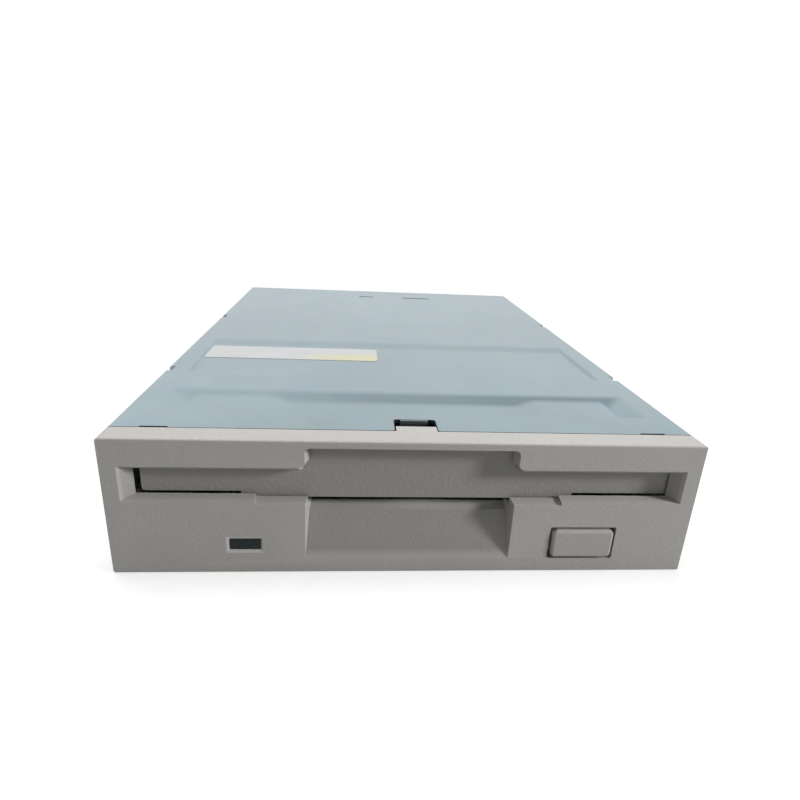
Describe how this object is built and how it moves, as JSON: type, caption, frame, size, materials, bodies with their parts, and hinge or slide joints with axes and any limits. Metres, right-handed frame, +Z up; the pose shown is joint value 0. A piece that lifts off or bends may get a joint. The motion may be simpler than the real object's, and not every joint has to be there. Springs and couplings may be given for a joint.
{
  "type": "floppy disk drive",
  "caption": "Half-height floppy disk drive with a grey bezel, hinged slot door, eject button, light window and pressed steel cover, with its loading, spindle and head mechanism.",
  "frame": {"origin": "bottom centre of the drive's box", "axes": "+Y to the back, +Z up, the bezel faces -Y"},
  "size_m": [0.1016, 0.1466, 0.0254],
  "materials": {
    "bezel_abs": "fine moulded texture",
    "lens": "smoked clear plastic",
    "led_body": "cloudy clear resin",
    "zinc_sheet": "zinc-coated sheet steel",
    "steel": "plain machined steel",
    "cast_metal": "die-cast, lightly grained",
    "board": "solder-masked laminate",
    "dark_moulding": "black moulding compound",
    "white_moulding": "natural nylon",
    "copper_wire": "enamelled copper",
    "bronze": "sintered bronze",
    "contact": "gold flash",
    "flex": "amber film",
    "ribbon": "white film",
    "ferrite": "sintered ferrite",
    "ceramic": "polished ceramic"
  },
  "bodies": {
    "base": {"front_bezel": "bezel_abs", "led_lens": "lens", "status_led": "led_body", "slide_posts": "steel", "eject_springs": "steel", "top_cover": "zinc_sheet", "cover_screws": "steel", "chassis": "cast_metal", "motor_board": "board", "motor_board_screws": "steel", "stator_core": "steel", "stator_coils": "copper_wire", "spindle_bearing": "bronze", "main_board": "board", "board_screws": "steel", "board_chips": "dark_moulding", "motor_ribbon": "ribbon", "signal_header": "dark_moulding", "signal_pins": "contact", "power_connector": "white_moulding", "power_pins": "contact", "stepper_motor": "zinc_sheet", "stepper_bracket": "steel", "bracket_screws": "steel", "screw_bearing": "bronze", "guide_rod": "steel", "rod_clamps": "dark_moulding", "head_ribbon": "flex", "ribbon_socket": "white_moulding", "track_sensor": "dark_moulding", "sense_switches": "dark_moulding"},
    "door": {"slot_door": "bezel_abs", "door_spring": "steel"},
    "slide": {"eject_button": "bezel_abs", "slide_plate": "steel"},
    "holder": {"disk_holder": "zinc_sheet", "holder_pins": "steel", "lever_pivot": "steel"},
    "lever": {"shutter_lever": "zinc_sheet", "lever_spring": "steel"},
    "rotor": {"rotor_cup": "zinc_sheet", "rotor_magnet": "ferrite", "spindle_shaft": "steel", "chuck_hub": "dark_moulding"},
    "pin": {"drive_pin": "steel"},
    "screw": {"lead_screw": "steel"},
    "carriage": {"head_carriage": "dark_moulding", "lower_head": "ceramic", "arm_pin": "steel"},
    "arm": {"upper_arm": "dark_moulding", "upper_head": "ceramic", "arm_spring": "steel"},
    "write_protect": {"write_protect_plunger": "white_moulding"},
    "density": {"density_plunger": "white_moulding"},
    "disk_in": {"disk_in_plunger": "white_moulding"}
  },
  "joints": [
    {"name": "eject_slide", "type": "slide", "parent": "base", "child": "slide", "axis": [0, 1, 0], "range_m": [-0.007, 0], "deforming": ["eject_springs"]},
    {"name": "holder_drop", "type": "slide", "parent": "base", "child": "holder", "axis": [0, 0, 1], "range_m": [-0.0036, 0]},
    {"name": "lever_swing", "type": "hinge", "parent": "holder", "child": "lever", "pos_m": [-0.032, -0.00275, 0.0204], "axis": [0, 0, 1], "range_deg": [0, 50.01], "deforming": ["lever_spring"]},
    {"name": "door_swing", "type": "hinge", "parent": "base", "child": "door", "pos_m": [0, -0.06835, 0.02255], "axis": [1, 0, 0], "range_deg": [0, 85], "stiffness_Nm_per_rad": 0.002, "springref_deg": -5.73, "deforming": ["door_spring"]},
    {"name": "spindle_spin", "type": "hinge", "parent": "base", "child": "rotor", "pos_m": [0, -0.01775, 0.005], "axis": [0, 0, 1], "continuous": true},
    {"name": "drive_pin_sink", "type": "slide", "parent": "rotor", "child": "pin", "axis": [0, 0, 1], "range_m": [-0.001, 0], "stiffness_N_per_m": 60},
    {"name": "head_seek", "type": "slide", "parent": "base", "child": "carriage", "axis": [0, -1, 0], "range_m": [0, 0.0148], "deforming": ["head_ribbon"]},
    {"name": "screw_turn", "type": "hinge", "parent": "base", "child": "screw", "pos_m": [0.022, 0.04125, 0.0136], "axis": [0, 1, 0], "range_deg": [-5, 1425.8]},
    {"name": "arm_lower", "type": "hinge", "parent": "carriage", "child": "arm", "pos_m": [0, 0.04875, 0.0155], "axis": [1, 0, 0], "range_deg": [0, 11.51]},
    {"name": "write_protect_press", "type": "slide", "parent": "base", "child": "write_protect", "axis": [0, 0, 1], "range_m": [-0.0014, 0], "stiffness_N_per_m": 60},
    {"name": "density_press", "type": "slide", "parent": "base", "child": "density", "axis": [0, 0, 1], "range_m": [-0.0014, 0], "stiffness_N_per_m": 60},
    {"name": "disk_in_press", "type": "slide", "parent": "base", "child": "disk_in", "axis": [0, 0, 1], "range_m": [-0.0014, 0], "stiffness_N_per_m": 60}
  ],
  "couplings": [
    {"joint": "holder_drop", "follows": "eject_slide", "ratio": 0.51429},
    {"joint": "lever_swing", "follows": "eject_slide", "rad_per_m": -124.67},
    {"joint": "arm_lower", "follows": "eject_slide", "rad_per_m": -28.673},
    {"joint": "screw_turn", "follows": "head_seek", "rad_per_m": 1675.5}
  ]
}
